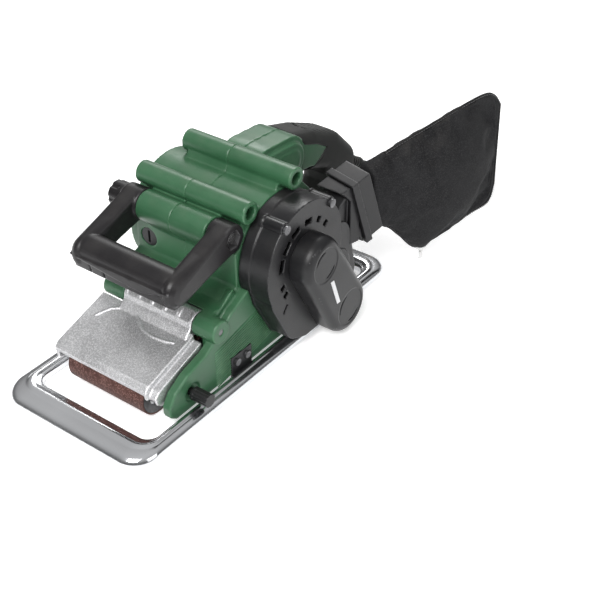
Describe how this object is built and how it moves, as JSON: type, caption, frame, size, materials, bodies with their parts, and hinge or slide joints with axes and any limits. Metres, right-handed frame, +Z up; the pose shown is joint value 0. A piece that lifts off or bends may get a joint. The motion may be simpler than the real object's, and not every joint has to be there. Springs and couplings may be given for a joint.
{
  "type": "handheld belt sander",
  "caption": "Handheld belt sander with a transverse motor, two clamp rod tubes, tilting front handle, lift-up nose cover, dust bag and a plated bench sanding frame.",
  "frame": {"origin": "on the sanding plane, the flat underside of the abrasive belt, under the middle of its width", "axes": "+X forward to the nose, +Y to the machine's left (the drive-belt side), +Z up"},
  "size_m": [0.538, 0.1954, 0.15],
  "materials": {
    "green_plastic": "fine-grained glass-filled nylon, satin",
    "black_plastic": "moulded nylon, satin",
    "handle_plastic": "moulded nylon with a soft sheen",
    "grip_rubber": "soft overmould",
    "cord_rubber": "smooth rubber sheath",
    "cast_cover": "die-cast, grained faces and smooth edges",
    "cast_aluminium": "as cast and machined",
    "plated_sheet": "bright plated pressed sheet",
    "zinc_steel": "zinc plated",
    "ground_steel": "ground and oiled",
    "lamination": "varnished lamination stack",
    "copper": "turned copper segments",
    "brass": "plain",
    "carbon": "pressed carbon",
    "graphite_pad": "graphite-faced cork and cloth",
    "abrasive": "cloth-backed brown aluminium oxide grit",
    "bag_cloth": "non-woven dust filter cloth",
    "tie_band": "soft twist tie",
    "label": "plain printed film with no wording"
  },
  "bodies": {
    "machine": {"housing_left": "green_plastic", "housing_right": "green_plastic", "housing_screws": "zinc_steel", "motor_end_cover": "black_plastic", "cover_screws": "zinc_steel", "dust_outlet": "black_plastic", "belt_guard": "black_plastic", "guard_label": "label", "grip_cover": "grip_rubber", "switch_body": "black_plastic", "brush_caps": "black_plastic", "brush_holders": "brass", "carbon_brushes": "carbon", "brush_springs": "ground_steel", "field_stator": "lamination", "motor_bearings": "ground_steel", "drive_bearings": "ground_steel", "base_frame": "cast_aluminium", "sole_plate": "ground_steel", "cork_pad": "graphite_pad", "sanding_belt": "abrasive", "drive_belt": "grip_rubber", "tension_spring": "ground_steel", "lever_pin": "ground_steel", "nose_hinge_pin": "ground_steel", "sanding_frame": "plated_sheet", "frame_bracket": "plated_sheet", "frame_screws": "zinc_steel", "cord_gland": "grip_rubber", "cord_run": "cord_rubber", "cord_coil": "cord_rubber", "cord_tail": "cord_rubber", "cord_tie": "tie_band", "mains_plug": "cord_rubber", "plug_pins": "brass"},
    "armature": {"armature_shaft": "ground_steel", "armature_core": "lamination", "commutator": "copper", "cooling_fan": "black_plastic", "motor_pulley": "ground_steel"},
    "drive_train": {"drive_shaft": "ground_steel", "drive_roller": "cast_aluminium", "roller_sleeve": "grip_rubber", "driven_pulley": "cast_aluminium"},
    "roller_carrier": {"front_yoke": "cast_aluminium", "front_axle": "ground_steel"},
    "front_roller": {"front_roller": "cast_aluminium", "front_bearings": "ground_steel"},
    "tension_lever": {"tension_lever": "zinc_steel"},
    "tracking_knob": {"tracking_knob": "black_plastic"},
    "front_handle": {"front_handle": "handle_plastic", "handle_bolt": "zinc_steel"},
    "clamp_knob": {"clamp_knob": "handle_plastic"},
    "nose_cover": {"nose_cover": "cast_cover"},
    "switch_trigger": {"switch_trigger": "handle_plastic"},
    "lock_button": {"lock_button": "handle_plastic"},
    "dust_bag": {"bag_collar": "black_plastic", "dust_bag": "bag_cloth"},
    "zip_slider": {"zip_slider": "zinc_steel"},
    "zip_pull": {"zip_pull": "zinc_steel"}
  },
  "joints": [
    {"name": "drive_roller_spin", "type": "hinge", "parent": "machine", "child": "drive_train", "pos_m": [-0.061, 0, 0.025], "axis": [0, 1, 0], "continuous": true},
    {"name": "armature_spin", "type": "hinge", "parent": "machine", "child": "armature", "pos_m": [-0.027, 0, 0.084], "axis": [0, 1, 0], "continuous": true},
    {"name": "roller_carrier_slide", "type": "slide", "parent": "machine", "child": "roller_carrier", "axis": [1, 0, 0], "range_m": [-0.008, 0]},
    {"name": "front_roller_spin", "type": "hinge", "parent": "roller_carrier", "child": "front_roller", "pos_m": [0.103, 0, 0.017], "axis": [0, 1, 0], "continuous": true},
    {"name": "tension_lever_turn", "type": "hinge", "parent": "machine", "child": "tension_lever", "pos_m": [0.03, -0.052, 0.02], "axis": [0, 0, -1], "range_deg": [0, 100]},
    {"name": "tracking_knob_turn", "type": "hinge", "parent": "machine", "child": "tracking_knob", "pos_m": [0.087, 0.065, 0.0175], "axis": [0, 1, 0], "range_deg": [-180, 180]},
    {"name": "front_handle_tilt", "type": "hinge", "parent": "machine", "child": "front_handle", "pos_m": [0.027, 0, 0.1175], "axis": [0, -1, 0], "range_deg": [0, 60]},
    {"name": "clamp_knob_turn", "type": "hinge", "parent": "front_handle", "child": "clamp_knob", "pos_m": [0.027, -0.058, 0.1175], "axis": [0, -1, 0], "range_deg": [0, 360]},
    {"name": "nose_cover_lift", "type": "hinge", "parent": "machine", "child": "nose_cover", "pos_m": [0.056, 0, 0.0555], "axis": [0, -1, 0], "range_deg": [0, 55]},
    {"name": "trigger_squeeze", "type": "hinge", "parent": "machine", "child": "switch_trigger", "pos_m": [-0.104, 0, 0.103], "axis": [0, 1, 0], "range_deg": [0, 8], "stiffness_Nm_per_rad": 0.2, "springref_deg": -5.73},
    {"name": "lock_button_press", "type": "slide", "parent": "machine", "child": "lock_button", "axis": [0, 1, 0], "range_m": [0, 0.003], "stiffness_N_per_m": 300, "springref_m": -0.002},
    {"name": "dust_bag_pull", "type": "slide", "parent": "machine", "child": "dust_bag", "axis": [-0.9318, 0.2151, 0.2924], "range_m": [0, 0.03]},
    {"name": "zip_slider_run", "type": "slide", "parent": "dust_bag", "child": "zip_slider", "axis": [-0.9674, 0.2233, 0.1191], "range_m": [0, 0.078]},
    {"name": "zip_pull_swing", "type": "hinge", "parent": "zip_slider", "child": "zip_pull", "pos_m": [-0.18589, 0.08669, 0.0093], "axis": [0.225, 0.9744, 0], "range_deg": [-80, 80]}
  ],
  "couplings": [
    {"joint": "armature_spin", "follows": "drive_roller_spin", "ratio": 2.4},
    {"joint": "front_roller_spin", "follows": "drive_roller_spin", "ratio": 1.4878},
    {"joint": "tension_lever_turn", "follows": "roller_carrier_slide", "rad_per_m": -218.1}
  ]
}
